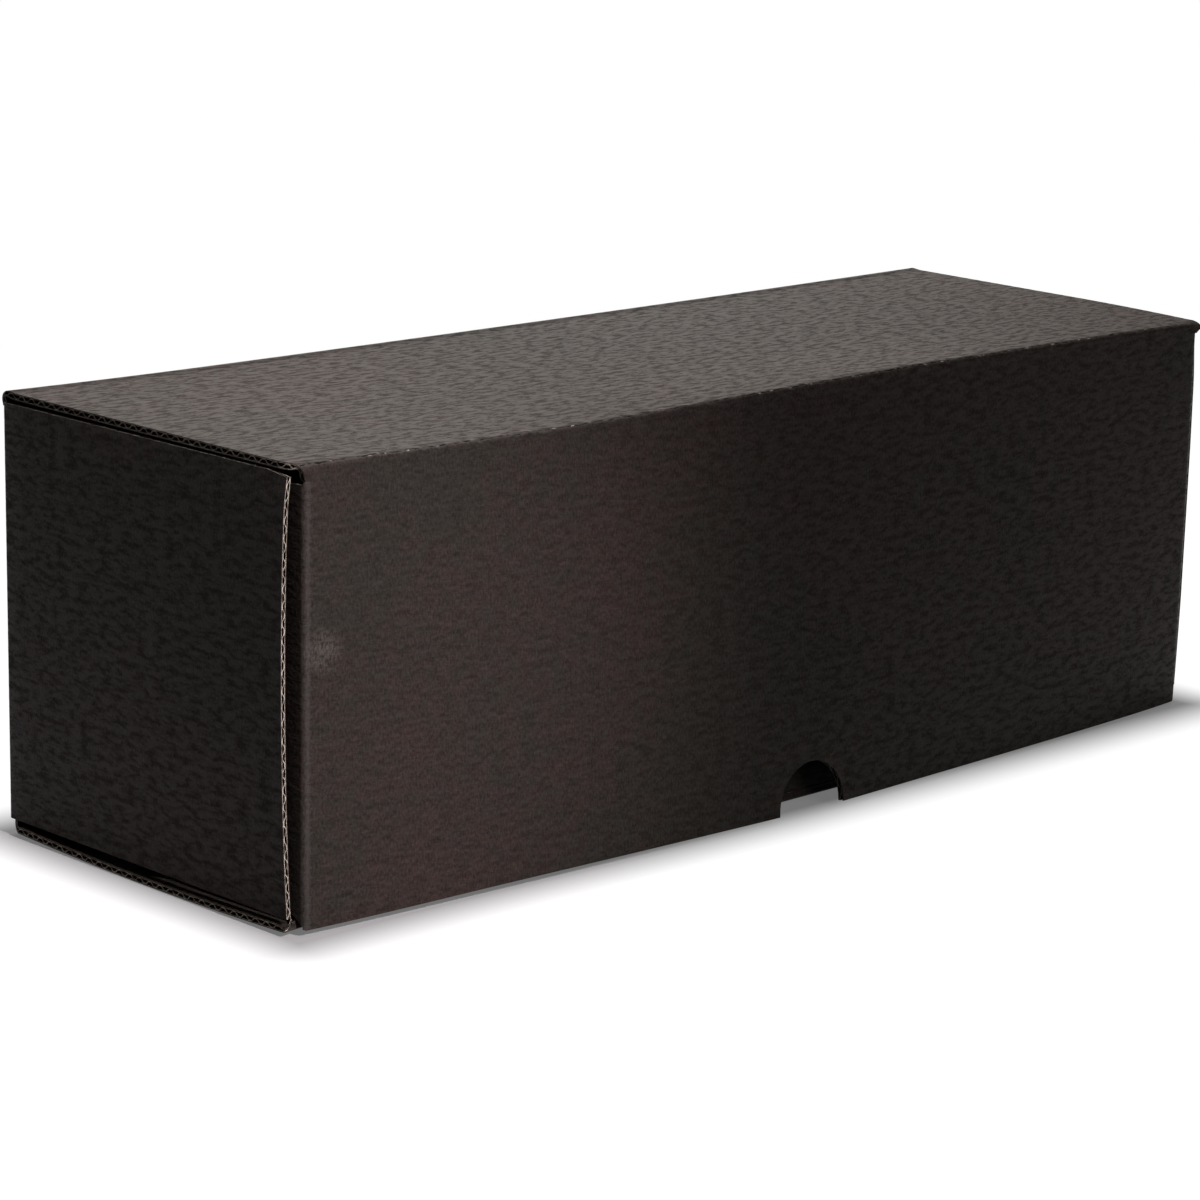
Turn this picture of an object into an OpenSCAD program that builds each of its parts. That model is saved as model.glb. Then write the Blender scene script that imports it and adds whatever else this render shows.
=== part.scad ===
// Mailer box die cut from one sheet of corrugated board, folded and glued.
// X runs along the box, the front flap faces -Y, and the base stands on Z = 0.
// The origin is the middle of the base, under the folded walls.

/* [Box] */
// Length of the lid and the base
box_length = 304; // [220:1:400]
// Depth from the fold of the front flap to the face of the back wall
box_depth = 100; // [80:1:160]
// Height over the closed lid
box_height = 102; // [70:1:150]

/* [Board] */
// Thickness of the corrugated board
board_t = 1.6; // [1.4:0.1:2]
// Thickness of each facing paper
liner_t = 0.3; // [0.2:0.05:0.35]
// Thickness of the fluted paper between the facings
medium_t = 0.2; // [0.15:0.05:0.3]
// Distance from one flute to the next
flute_pitch = 3.6; // [3.2:0.1:6]
// Width of each flute's crest where it is glued to a facing
flute_crest = 0.6; // [0.4:0.05:0.8]
// Whole board kept beside the first and the last channel of a panel
channel_margin = 0.6; // [0.3:0.05:1.2]

/* [Folds] */
// Outer radius of the fold between the base and the back wall
back_fold_r = 4; // [2.6:0.1:6]
// Outer radius of the fold between the base and the inner front wall
front_fold_r = 3.2; // [2.2:0.1:3.6]
// How much shorter than the base the front fold is at each end, past the cut corners
fold_inset = 2.5; // [2.2:0.1:6]
// Outer radius of the upright folds of the walls and the ears
upright_fold_r = 2.6; // [2.2:0.1:4]
// Clearance between a hinge's round spine and the panel beside it
spine_gap = 0.25; // [0.15:0.05:0.4]

/* [Front flap] */
// How much shorter than the lid the flap is at each end
flap_inset = 1.9; // [1.8:0.05:3]
// Height of the flap's lower edge over the ground
flap_lift = 1; // [0.5:0.1:2]
// How far the middle of the lower edge bows out
flap_bow = 8.5; // [0:0.5:14]
// How pointed the bow is in the middle, from 1 for a V to 2 for an arc
bow_power = 1.25; // [1.1:0.05:2]
// Straight strip of the flap under its fold
flap_head = 3; // [2:0.5:6]
// Length over which the lid's front corners taper to the flap's length
lid_taper = 4; // [2:0.5:10]
// Cut across the flap's lower corners
flap_corner = 3; // [1:0.5:6]
// Radius of the half-round thumb notch
notch_r = 11.5; // [8:0.5:16]

/* [Ears] */
// Reach of the flap's ears behind the flap's face
ear_length = 35; // [20:1:42]
// Height of an ear's top edge under the top of the lid, at its fold
ear_drop = 4; // [3:0.5:8]
// Height of an ear's lower edge over the flap's lower edge, at its fold
ear_rise = 3; // [2.5:0.5:8]
// How far an ear's lower edge climbs to its free end, so that it swings clear of the base
ear_taper = 8; // [7:0.5:14]
// How far an ear's top edge falls to its free end
ear_top_taper = 3; // [0:0.5:8]

/* [Walls] */
// Distance of an end panel's front edge behind the flap's face
end_setback = 2.5; // [2:0.1:4]
// Gap between an end panel and the lid above it
end_top_gap = 1; // [0.6:0.1:2]
// Gap between an end panel and the base under it
end_base_gap = 2.3; // [1:0.1:4]
// Gap between the front flap and the inner front wall at the top
front_gap = 0.9; // [0.5:0.1:2]
// Gap between the inner front wall and the lid above it
front_top_gap = 0.6; // [0.4:0.1:2]

/* [Inner end flaps] */
// Clearance between an ear and the inner end flap beside it
pocket_gap = 0.4; // [0.3:0.05:1]
// Room behind an ear's free end in its pocket
pocket_room = 4; // [2:0.5:10]
// Length of the slope that brings an inner end flap out to its end panel
jog_length = 8; // [5:0.5:12]
// Distance of an inner end flap's free edge before the back wall
inner_setback = 13; // [8:0.5:20]
// Distance of an inner end flap's edges from the base and from the lid
inner_trim = 5; // [4:0.5:10]

/* [Hidden] */
$fn = 48;

board_colour = [0.16, 0.145, 0.135];
half_length = box_length / 2;
half_depth = box_depth / 2;
spine_r = board_t / 2;
spine_z = box_height - spine_r;
back_spine_y = half_depth - spine_r;
front_spine_y = spine_r - half_depth;
lid_under = box_height - board_t;

// Half widths of a flute's channel at its facing and at the crest of the fluted paper
channel_wide = (flute_pitch - flute_crest) / 2 - medium_t;
channel_narrow = flute_crest / 2;
// How far a cutting shape reaches past what it cuts
overcut = 1;
// Straight lead at each end of a fold, which lies inside the panel it joins
fold_lead = 0.4;

// Faces that the walls share, each measured from the middle of the box
wall_front_y = board_t + front_gap - half_depth;
ear_x = half_length - flap_inset;
ear_inner_x = ear_x - board_t;
pocket_x = ear_inner_x - pocket_gap;
end_inner_x = half_length - board_t;
end_front_y = end_setback - half_depth;
end_low = board_t + end_base_gap;
end_high = lid_under - end_top_gap;
upright_y = half_depth - upright_fold_r;
pocket_end_y = ear_length - half_depth + pocket_room;
jog_end_y = pocket_end_y + jog_length;
inner_end_y = half_depth - inner_setback;

// The flap's grid: columns follow the notch and the corner cuts, rows run from edge to head
flap_half = ear_x - upright_fold_r;
flap_top = spine_z - flap_head;
notch_steps = 6;
side_steps = 7;
flap_rows = 6;

// The channel beside the inner facing, and the one beside the outer facing
low_channel = [
    [-channel_wide, liner_t],
    [channel_wide, liner_t],
    [channel_narrow, board_t - liner_t - medium_t],
    [-channel_narrow, board_t - liner_t - medium_t]
];
high_channel = [for (p = low_channel) [p[0], board_t - p[1]]];

// Channels of the fluted paper along a cut edge, centred on a panel of the given width
module flute_row(width) {
    count = floor((width - 2 * channel_margin) / flute_pitch);
    for (i = [0 : 2 * count - 2]) {
        translate([(i - count + 1) * flute_pitch / 2, 0])
            polygon(i % 2 == 0 ? low_channel : high_channel);
    }
}

// Cut section of a flat panel of open board, from 0 to width along X
module board_section(width) {
    difference() {
        square([width, board_t]);
        translate([width / 2, 0]) flute_row(width);
    }
}

// Quarter of a bent strip of board, centred on its bend, in the quadrant of +X and +Y, with its two leads
module bend_section(r) {
    intersection() {
        difference() {
            circle(r);
            circle(r - board_t);
        }
        square(r);
    }
    translate([r - board_t, -fold_lead]) square([board_t, fold_lead]);
    translate([-fold_lead, r - board_t]) square([fold_lead, board_t]);
}

// Turns a section drawn in Y and Z into a solid along X, centred on X = 0
module along_x(length) {
    translate([-length / 2, 0, 0]) rotate([90, 0, 90]) linear_extrude(length) children();
}

// One wall of the band, and the fold that joins it to the base. The wall's face is at Y = face_y.
module band_wall(r, fold_width, width, face_y, top) {
    along_x(fold_width) translate([face_y - r, r]) mirror([0, 1]) bend_section(r);
    along_x(width) translate([face_y - board_t, r]) square([board_t, top - r]);
}

// Base with open flutes at its left and right edges
module base() {
    front = wall_front_y + front_fold_r;
    back = half_depth - back_fold_r;
    along_x(box_length) translate([front, 0]) board_section(back - front);
}

// End panel at +X, folded in from the back wall, with open flutes at its front edge
module end_panel() {
    translate([half_length, upright_y, end_low]) rotate([90, -90, 0])
        linear_extrude(upright_y - end_front_y) board_section(end_high - end_low);
    translate([half_length - upright_fold_r, upright_y, end_low])
        linear_extrude(end_high - end_low) bend_section(upright_fold_r);
}

// Plan of the inner end flap at +X: its fold, the ear's pocket and the slope to the end panel
module inner_plan() {
    bend_y = wall_front_y + upright_fold_r;
    translate([pocket_x - upright_fold_r, bend_y]) mirror([0, 1]) bend_section(upright_fold_r);
    translate([pocket_x - board_t, bend_y]) square([board_t, pocket_end_y - bend_y]);
    polygon([
        [pocket_x, pocket_end_y],
        [end_inner_x, jog_end_y],
        [end_inner_x - board_t, jog_end_y],
        [pocket_x - board_t, pocket_end_y]
    ]);
}

// Inner end flap at +X, folded back from the inner front wall and glued to the end panel at its free end
module inner_end_flap() {
    height = lid_under - 2 * inner_trim;
    translate([0, 0, inner_trim]) {
        linear_extrude(height) inner_plan();
        translate([end_inner_x, inner_end_y, 0]) rotate([90, -90, 0])
            linear_extrude(inner_end_y - jog_end_y + fold_lead) board_section(height);
    }
}

// Base, back wall, inner front wall and both folded ends, glued into one piece
module tray() {
    back_width = 2 * (half_length - upright_fold_r);
    inner_width = 2 * (pocket_x - upright_fold_r);
    color(board_colour) union() {
        base();
        band_wall(back_fold_r, back_width, back_width, half_depth, spine_z - spine_r - spine_gap);
        mirror([0, 1, 0]) band_wall(
            front_fold_r, box_length - 2 * fold_inset, inner_width, -wall_front_y, lid_under - front_top_gap
        );
        for (side = [0, 1]) mirror([side, 0, 0]) {
            end_panel();
            inner_end_flap();
        }
    }
}

// Lid with the round spine of its rear fold, open flutes at both ends and tapered front corners
module lid() {
    front = board_t + spine_gap - half_depth;
    color(board_colour) difference() {
        along_x(box_length) {
            translate([front, lid_under]) board_section(back_spine_y - front);
            translate([back_spine_y, spine_z]) circle(spine_r);
        }
        for (side = [0, 1]) mirror([side, 0, 0])
            translate([half_length, front, lid_under - overcut]) linear_extrude(board_t + 2 * overcut)
                polygon([
                    [-flap_inset, -overcut], [overcut, -overcut], [overcut, lid_taper],
                    [0, lid_taper], [-flap_inset, 0]
                ]);
    }
}

// Height of the flap's lower edge at x: the notch in the middle, a cut at each corner
function edge_z(x) =
    abs(x) < notch_r ? flap_lift + sqrt(notch_r * notch_r - x * x)
    : flap_lift + max(0, flap_corner - (flap_half - abs(x)));

// How far the flap's face stands out at a place: nothing at its head and its ends
function bow_at(x, z) =
    flap_bow * (1 - pow(min(1, abs(x) / flap_half), bow_power)) * (flap_top - z) / (flap_top - flap_lift);

// Columns of the right half, from the middle outwards
half_columns = concat(
    [for (i = [0 : notch_steps]) notch_r * sin(90 * i / notch_steps)],
    [for (i = [1 : side_steps]) notch_r + (flap_half - flap_corner - notch_r) * i / side_steps],
    [flap_half]
);
columns = concat(
    [for (i = [len(half_columns) - 1 : -1 : 1]) -half_columns[i]],
    half_columns
);

// Bowed panel of the flap as a grid of points on its face and as many on its inner side
module bowed_panel() {
    nx = len(columns);
    nz = flap_rows + 1;
    points = [
        for (side = [0, 1]) for (x = columns) for (k = [0 : flap_rows])
            let (low = edge_z(x), z = low + (flap_top - low) * k / flap_rows)
            [x, side * board_t - half_depth - bow_at(x, z), z]
    ];
    function at(side, i, k) = (side * nx + i) * nz + k;
    face_cells = [
        for (i = [0 : nx - 2]) for (k = [0 : nz - 2]) each [
            [at(0, i, k), at(0, i, k + 1), at(0, i + 1, k)],
            [at(0, i + 1, k), at(0, i, k + 1), at(0, i + 1, k + 1)],
            [at(1, i, k), at(1, i + 1, k), at(1, i, k + 1)],
            [at(1, i + 1, k), at(1, i + 1, k + 1), at(1, i, k + 1)]
        ]
    ];
    long_edges = [
        for (i = [0 : nx - 2]) each [
            [at(0, i, 0), at(0, i + 1, 0), at(1, i, 0)],
            [at(0, i + 1, 0), at(1, i + 1, 0), at(1, i, 0)],
            [at(0, i, nz - 1), at(1, i, nz - 1), at(0, i + 1, nz - 1)],
            [at(0, i + 1, nz - 1), at(1, i, nz - 1), at(1, i + 1, nz - 1)]
        ]
    ];
    short_edges = [
        for (k = [0 : nz - 2]) each [
            [at(0, 0, k), at(1, 0, k), at(0, 0, k + 1)],
            [at(0, 0, k + 1), at(1, 0, k), at(1, 0, k + 1)],
            [at(0, nx - 1, k), at(0, nx - 1, k + 1), at(1, nx - 1, k)],
            [at(0, nx - 1, k + 1), at(1, nx - 1, k + 1), at(1, nx - 1, k)]
        ]
    ];
    polyhedron(points, concat(face_cells, long_edges, short_edges));
}

// Ear at +X, folded back from the flap's end, with its fold and its tapered edges
module ear() {
    low = flap_lift + ear_rise;
    high = box_height - ear_drop;
    bend_y = upright_fold_r - half_depth;
    end_y = ear_length - half_depth;
    translate([ear_x - upright_fold_r, bend_y, low]) linear_extrude(high - low)
        mirror([0, 1]) bend_section(upright_fold_r);
    intersection() {
        translate([ear_x, end_y, low]) rotate([90, -90, 0])
            linear_extrude(end_y - bend_y) board_section(high - low);
        translate([ear_inner_x - overcut, 0, 0]) rotate([90, 0, 90]) linear_extrude(board_t + 2 * overcut)
            polygon([[bend_y, low], [end_y, low + ear_taper], [end_y, high - ear_top_taper], [bend_y, high]]);
    }
}

// Front flap with the round spine of its fold, the bowed panel and both ears
module front_flap() {
    color(board_colour) union() {
        along_x(2 * ear_x) {
            translate([front_spine_y, spine_z]) circle(spine_r);
            translate([-half_depth, flap_top]) square([board_t, flap_head]);
        }
        bowed_panel();
        for (side = [0, 1]) mirror([side, 0, 0]) ear();
    }
}

tray();
lid();
front_flap();
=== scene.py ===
# %% [markdown]
# # A black mailer box of corrugated board
#
# The box is one die cut sheet of thin corrugated board, black on both sides, which is folded
# and glued into a tray with a lid and a front flap. The solids come from a CAD model that is
# loaded here as a fixed frame. In them every panel is in its place, and its flutes are open.
# This script puts the real board over them: two papers, the wavy paper between them, creases
# that bend, panels that bow a little, and a satin black finish with fine fibres and wear.
#
# Lengths are written in millimetres, as the board's maker would, and become metres only when a
# mesh is made.

import bpy
import numpy as np
from mathutils import Matrix


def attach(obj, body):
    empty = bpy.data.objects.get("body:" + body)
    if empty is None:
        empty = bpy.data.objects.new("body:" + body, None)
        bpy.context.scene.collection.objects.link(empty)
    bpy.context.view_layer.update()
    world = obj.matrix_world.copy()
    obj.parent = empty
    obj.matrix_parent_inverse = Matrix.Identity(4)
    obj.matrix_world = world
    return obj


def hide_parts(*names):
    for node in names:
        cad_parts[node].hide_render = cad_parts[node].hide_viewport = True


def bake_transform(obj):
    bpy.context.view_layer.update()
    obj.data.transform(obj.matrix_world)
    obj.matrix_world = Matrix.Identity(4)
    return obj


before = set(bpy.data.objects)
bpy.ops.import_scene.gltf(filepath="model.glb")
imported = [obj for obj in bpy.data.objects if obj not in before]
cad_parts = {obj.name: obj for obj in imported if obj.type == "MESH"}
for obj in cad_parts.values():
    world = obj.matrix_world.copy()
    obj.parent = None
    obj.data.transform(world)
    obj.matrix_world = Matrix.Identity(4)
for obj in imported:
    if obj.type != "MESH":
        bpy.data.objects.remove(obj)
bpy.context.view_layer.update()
MM = 0.001

# %% [markdown]
# ## Camera
#
# The camera stands where the photographer stood, found by fitting a lens to the box's corners.
# A long lens keeps the edges almost parallel. It is turned by a matrix of its own axes, because
# the photograph was taken with a slight roll, which a look-at constraint can't give.

# %% Camera at the photograph's place
CAMERA_AZIMUTH, CAMERA_ELEVATION, CAMERA_ROLL = np.radians([-44.93, 13.64, 1.49])
CAMERA_DISTANCE = 974.57
CAMERA_SLIDE = (8.58, -39.87)
CAMERA_LENS = 119.3
SENSOR = 36.0


def camera_axes(azimuth, elevation, roll):
    """Right, up and back of a camera.

    Back is the direction of the angles. Right starts level, and right and up turn by the roll.
    """
    back = np.array([
        np.sin(azimuth) * np.cos(elevation),
        -np.cos(azimuth) * np.cos(elevation),
        np.sin(elevation),
    ])
    level = np.array([np.cos(azimuth), np.sin(azimuth), 0.0])
    upright = np.cross(back, level)
    right = np.cos(roll) * level + np.sin(roll) * upright
    return right, np.cross(back, right), back


def standing(right, up, back, place_m):
    """Matrix of a camera or a lamp with these axes, at a place in metres."""
    return Matrix([[right[i], up[i], back[i], place_m[i]] for i in range(3)] + [[0, 0, 0, 1]])


right, up, back = camera_axes(CAMERA_AZIMUTH, CAMERA_ELEVATION, CAMERA_ROLL)
place = back * CAMERA_DISTANCE - right * CAMERA_SLIDE[0] - up * CAMERA_SLIDE[1]
camera_data = bpy.data.cameras.new("camera")
camera_data.lens = CAMERA_LENS
camera_data.sensor_width = SENSOR
camera = bpy.data.objects.new("camera", camera_data)
camera.matrix_world = standing(right, up, back, place * MM)
bpy.context.collection.objects.link(camera)
bpy.context.scene.camera = camera
print("camera at", np.round(place, 1), "mm")

# %% [markdown]
# ## Node expressions
#
# A procedural material is a small sum over the surface. Written as bare nodes, such a sum is
# hard to read, so a socket is wrapped in a class whose operators add the Math nodes. Anything
# that isn't arithmetic comes from one method, `node`, which takes the node's type, its settings
# and what goes into its sockets. Sockets that share a name with others are given by number.

# %% Sockets that can be added and multiplied
OBJECT_PLACE, ATTRIBUTE_VALUE, VECTOR_VALUE = 3, 2, 1
MIX_FACTOR, MIX_FIRST, MIX_SECOND, MIX_COLOUR = 0, 6, 7, 2


class Field:
    """A socket's value over the surface. Sums and products of fields are fields again."""

    def __init__(self, finish, socket):
        self.finish = finish
        self.socket = socket

    def maths(self, operation, *terms):
        return self.finish.node("ShaderNodeMath", {"operation": operation}, dict(enumerate(terms)))

    def __add__(self, other):
        return self.maths("ADD", self, other)

    def __sub__(self, other):
        return self.maths("SUBTRACT", self, other)

    def __mul__(self, other):
        return self.maths("MULTIPLY", self, other)

    def __rsub__(self, other):
        return self.maths("SUBTRACT", other, self)

    __radd__ = __add__
    __rmul__ = __mul__


class Finish:
    """A node material, or the world, that is built from fields."""

    def __init__(self, owner):
        owner.use_nodes = True
        self.owner = owner
        self.nodes = owner.node_tree.nodes
        self.links = owner.node_tree.links
        self.nodes.clear()

    def node(self, kind, settings=None, sockets=None, output=0):
        """Adds a node: its settings, then a value or a link for each socket. Gives one output."""
        made = self.nodes.new(kind)
        for name, value in (settings or {}).items():
            setattr(made, name, value)
        for name, value in (sockets or {}).items():
            if isinstance(value, Field):
                self.links.new(value.socket, made.inputs[name])
            else:
                made.inputs[name].default_value = value
        return Field(self, made.outputs[output]) if made.outputs else None

    def noise(self, vector, scale, detail=2.0, roughness=0.5):
        """Soft random field from 0 to 1, about 1 / scale metres from blob to blob."""
        return self.node("ShaderNodeTexNoise", None, {
            "Vector": vector, "Scale": scale, "Detail": detail, "Roughness": roughness,
        })

    def step(self, field, low, high):
        """Smooth step of a field: 0 under low, 1 over high."""
        return self.node("ShaderNodeMapRange", {"interpolation_type": "SMOOTHSTEP"}, {
            "Value": field, "From Min": low, "From Max": high,
        })

    def mix(self, factor, first, second):
        """Blend of two colours: the first at factor 0, the second at 1."""
        colours = [c if isinstance(c, Field) else (*c, 1) for c in (first, second)]
        return self.node("ShaderNodeMix", {"data_type": "RGBA"}, {
            MIX_FACTOR: factor, MIX_FIRST: colours[0], MIX_SECOND: colours[1],
        }, MIX_COLOUR)


print("fields add, subtract and multiply")

# %% [markdown]
# ## Floor, world and lamps
#
# The photograph shows the box on plain white with a soft shadow under it. The white comes from
# the floor and the world as the camera sees them, not from more light on the box, or the black
# paper would turn grey. Satin paper mirrors its surroundings at a grazing angle, and that is
# why the lid looks much lighter than the front. So the room is shown to glossy rays too. It is
# a little warm, slightly darker to the left and much darker to the right, as the lid's sheen
# is in the photograph.

# %% World that is white to look at and dim as a light
WORLD_LIGHT = 0.05
LEFT_ROOM, WARM_ROOM, DIM_ROOM = (0.8, 0.73, 0.68), (1.0, 0.915, 0.855), (0.2, 0.18, 0.17)
LEFT_SIDE, DARK_SIDE = (0.5, 0.68), (0.7, 0.85)
scene = bpy.context.scene
scene.view_settings.view_transform = "Standard"


def rays(finish, *names):
    """1 for the kinds of ray that are named, such as those from the camera, 0 for the others."""
    path = finish.node("ShaderNodeLightPath")
    kinds = [Field(finish, path.socket.node.outputs[name]) for name in names]
    return sum(kinds[1:], kinds[0])


def seen(finish):
    """1 for rays from the camera, a mirror or clear glass, 0 for the light that falls on things."""
    return rays(finish, "Is Camera Ray", "Is Glossy Ray", "Is Transmission Ray")


world = bpy.data.worlds.new("white_room")
scene.world = world
room = Finish(world)
strength = seen(room) * (1 - WORLD_LIGHT) + WORLD_LIGHT
direction = room.node("ShaderNodeSeparateXYZ", None, {0: room.node("ShaderNodeTexCoord")}, 0)
walls = room.mix(room.step(direction, *LEFT_SIDE), LEFT_ROOM, WARM_ROOM)
walls = room.mix(room.step(direction, *DARK_SIDE), walls, DIM_ROOM)
tint = room.mix(rays(room, "Is Camera Ray"), walls, (1, 1, 1))
sky = room.node("ShaderNodeBackground", None, {"Color": tint, "Strength": strength})
room.node("ShaderNodeOutputWorld", None, {"Surface": sky})
print("world light", WORLD_LIGHT)

# %% [markdown]
# The floor is lit like everything else, so it shows the box's shadow. To be seen as white it
# also glows, only for rays that show it to someone. The glow is weak at the box's footprint and
# grows over about two centimetres, which paints a soft contact shadow round the box on top of the
# real one. Far away it is pure glow, which hides where floor and world meet.

# %% Floor that keeps the real shadow and paints a soft one
FLOOR_HALF = 6.0
FLOOR_DROP = 0.0002
FLOOR_WHITE, FLOOR_GLOW, PAINTED_SHADOW_RAMP = 0.18, 0.96, (-0.007, 0.021)
FLOOR_FADE = (0.25, 0.6)
FOOTPRINT = (0.152, 0.052, 0.5)
floor_corners = ((-1, -1), (1, -1), (1, 1), (-1, 1))
floor_mesh = bpy.data.meshes.new("floor")
floor_mesh.from_pydata(
    [(x * FLOOR_HALF, y * FLOOR_HALF, -FLOOR_DROP) for x, y in floor_corners], [], [(0, 1, 2, 3)],
)
floor = bpy.data.objects.new("floor", floor_mesh)
bpy.context.collection.objects.link(floor)


def vector(finish, operation, *terms, output=0):
    """Vector Math node on terms that are fields or plain triples."""
    settings = {"operation": operation}
    return finish.node("ShaderNodeVectorMath", settings, dict(enumerate(terms)), output)


floor_paint = Finish(bpy.data.materials.new("floor_white"))
ground = floor_paint.node("ShaderNodeTexCoord", output=OBJECT_PLACE)
outside = vector(floor_paint, "SUBTRACT", vector(floor_paint, "ABSOLUTE", ground), FOOTPRINT)
outside = vector(floor_paint, "MAXIMUM", outside, (0, 0, 0))
gap = vector(floor_paint, "LENGTH", outside, output=VECTOR_VALUE)
# Weak glow near the footprint, growing over about two centimetres: a painted contact shadow round
# the box.
glow_and_painted_shadow = floor_paint.step(gap, *PAINTED_SHADOW_RAMP) * FLOOR_GLOW
distance = vector(floor_paint, "LENGTH", ground, output=VECTOR_VALUE)
lit = floor_paint.node("ShaderNodeBsdfDiffuse", None, {"Color": (*[FLOOR_WHITE] * 3, 1)})
shown = floor_paint.node("ShaderNodeEmission", None, {"Strength": seen(floor_paint) * glow_and_painted_shadow})
near = floor_paint.node("ShaderNodeAddShader", None, {0: lit, 1: shown})
far = floor_paint.node("ShaderNodeEmission", None, {"Strength": seen(floor_paint)})
both = floor_paint.node("ShaderNodeMixShader", None, {
    0: floor_paint.step(distance, *FLOOR_FADE), 1: near, 2: far,
})
floor_paint.node("ShaderNodeOutputMaterial", None, {"Surface": both})
floor_mesh.materials.append(floor_paint.owner)
print("floor", 2 * FLOOR_HALF, "m across")

# %% [markdown]
# ## Lamps
#
# Two large soft lamps light the box evenly from the front and from above. In the photograph the
# left end of the front is much lighter than the right end. So a third lamp, a narrow spot that
# is all soft edge, adds light at the left end that fades out along the front.

# %% Soft lamps
BOX_MIDDLE = (0, 0, 0.05)
FRONT_PLACE, FRONT_SIZE, FRONT_POWER = (0.1, -1.9, 1.0), 1.0, 11.0
TOP_PLACE, TOP_SIZE, TOP_POWER = (0.2, 0.3, 1.9), 1.2, 24.0
SPOT_PLACE, SPOT_AIM, SPOT_POWER = (-0.2, -1.05, 0.8), (-0.14, -0.055, 0.06), 145.0
SPOT_CONE, SPOT_RADIUS, SPOT_COLOUR = np.radians(11.6), 0.04, (1.0, 0.91, 0.95)


def hang(name, kind, place_m, aim_m, power):
    """Lamp of a kind at a place, turned to an aim."""
    lamp = bpy.data.lights.new(name, kind)
    lamp.energy = power
    away = np.array(place_m) - np.array(aim_m)
    away = away / np.linalg.norm(away)
    side = np.cross((0, 0, 1), away)
    side = side / np.linalg.norm(side)
    holder = bpy.data.objects.new(name, lamp)
    holder.matrix_world = standing(side, np.cross(away, side), away, place_m)
    bpy.context.collection.objects.link(holder)
    return lamp


hang("front_softbox", "AREA", FRONT_PLACE, BOX_MIDDLE, FRONT_POWER).size = FRONT_SIZE
hang("top_softbox", "AREA", TOP_PLACE, BOX_MIDDLE, TOP_POWER).size = TOP_SIZE
spot = hang("left_spot", "SPOT", SPOT_PLACE, SPOT_AIM, SPOT_POWER)
spot.spot_size, spot.spot_blend, spot.shadow_soft_size = SPOT_CONE, 1.0, SPOT_RADIUS
spot.color = SPOT_COLOUR
print("lamps: 3")

# %% [markdown]
# ## Corrugated board as a folded sheet
#
# Each panel starts as a flat piece of the blank. Place on it is given by two numbers: `s` runs
# along the flutes and `t` across them. A fold function then carries every point of the flat
# piece to its place in the box. Numpy does that for the whole grid at once, and the same pair
# (s, t) is kept as a UV map, so that fibres and streaks follow the sheet round its folds.
#
# A Solidify modifier could give a plain thickness, but real board has two facing papers and a
# wavy one between them. All three come from the same fold function: a point is moved inwards by
# its depth under the face.

# %% Board sizes
BOARD = 1.6
LINER = 0.3
MEDIUM = 0.2
PITCH = 3.6
FLAT_TIP = 0.14
DENT = 0.015
FLUTE_STEPS = 16
LINER_STEPS = 6


def lines(stops, *sizes):
    """Grid lines through every stop, evenly spaced between two by about that stretch's size."""
    sizes = list(sizes) + [sizes[-1]] * (len(stops) - 1 - len(sizes))
    parts = [
        np.linspace(a, b, max(1, int(round((b - a) / size))) + 1)[:-1]
        for a, b, size in zip(stops, stops[1:], sizes)
    ]
    return np.concatenate(parts + [[stops[-1]]])


def wrap(along, half, radius):
    """Strip bent up at both ends: straight to half, a quarter turn of the radius, then straight on.

    Gives the place along the strip and how far the point has been turned away from it.
    """
    rest = np.abs(along) - half
    angle = np.clip(rest / radius, 0, np.pi / 2)
    run = np.clip(rest - radius * np.pi / 2, 0, None)
    reach = np.minimum(np.abs(along), half) + radius * np.sin(angle)
    return np.sign(along) * reach, radius * (1 - np.cos(angle)) + run


def curve(at, places, values, soft):
    """Line through values at places, rounded by a mean over the width soft on both sides."""
    return sum(np.interp(at + soft * k, places, values) for k in (-1, -0.5, 0, 0.5, 1)) / 5


def ramp(value, start, width):
    """0 up to start, then growing evenly to 1 over the width."""
    return np.clip((value - start) / width, 0, 1)


def hump(value, middle, width):
    """1 at the middle, falling away on both sides like a bell."""
    return np.exp(-(((value - middle) / width) ** 2))


def wave(t):
    """Flute at t: a cosine with flattened tips, 1 at the outer facing and -1 at the inner one."""
    turn = 2 * np.pi * t / PITCH
    return (np.cos(turn) - FLAT_TIP * np.cos(3 * turn)) / (1 - FLAT_TIP)


print("board", BOARD, "mm, a flute every", PITCH, "mm")


# %% Closed plates from two grids
def plate(outer, inner, keep):
    """Faces of a closed plate between two grids.

    They are the kept cells, the same cells turned over, and rims round them. The outer grid's
    points come first, then the inner grid's. Rims are cut edges, so they get a 1 and the other
    faces a 0.
    """
    rows, columns = outer.shape[:2]
    count = rows * columns
    index = np.arange(count).reshape(rows, columns)
    cell = np.stack([index[:-1, :-1], index[1:, :-1], index[1:, 1:], index[:-1, 1:]], -1)
    padded = np.pad(keep, 1)
    neighbours = padded[1:-1, :-2], padded[2:, 1:-1], padded[1:-1, 2:], padded[:-2, 1:-1]
    rims = []
    for side, neighbour in enumerate(neighbours):
        edge = cell[keep & ~neighbour]
        first, second = edge[:, side], edge[:, (side + 1) % 4]
        rims.append(np.stack([second, first, first + count, second + count], -1))
    flat = np.concatenate([cell[keep], cell[keep][:, ::-1] + count])
    faces = np.concatenate([flat, *rims])
    points = np.concatenate([outer.reshape(-1, 3), inner.reshape(-1, 3)])
    return points, faces, np.arange(len(faces)) >= len(flat)


SHARP_ANGLE = np.radians(40)


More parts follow.
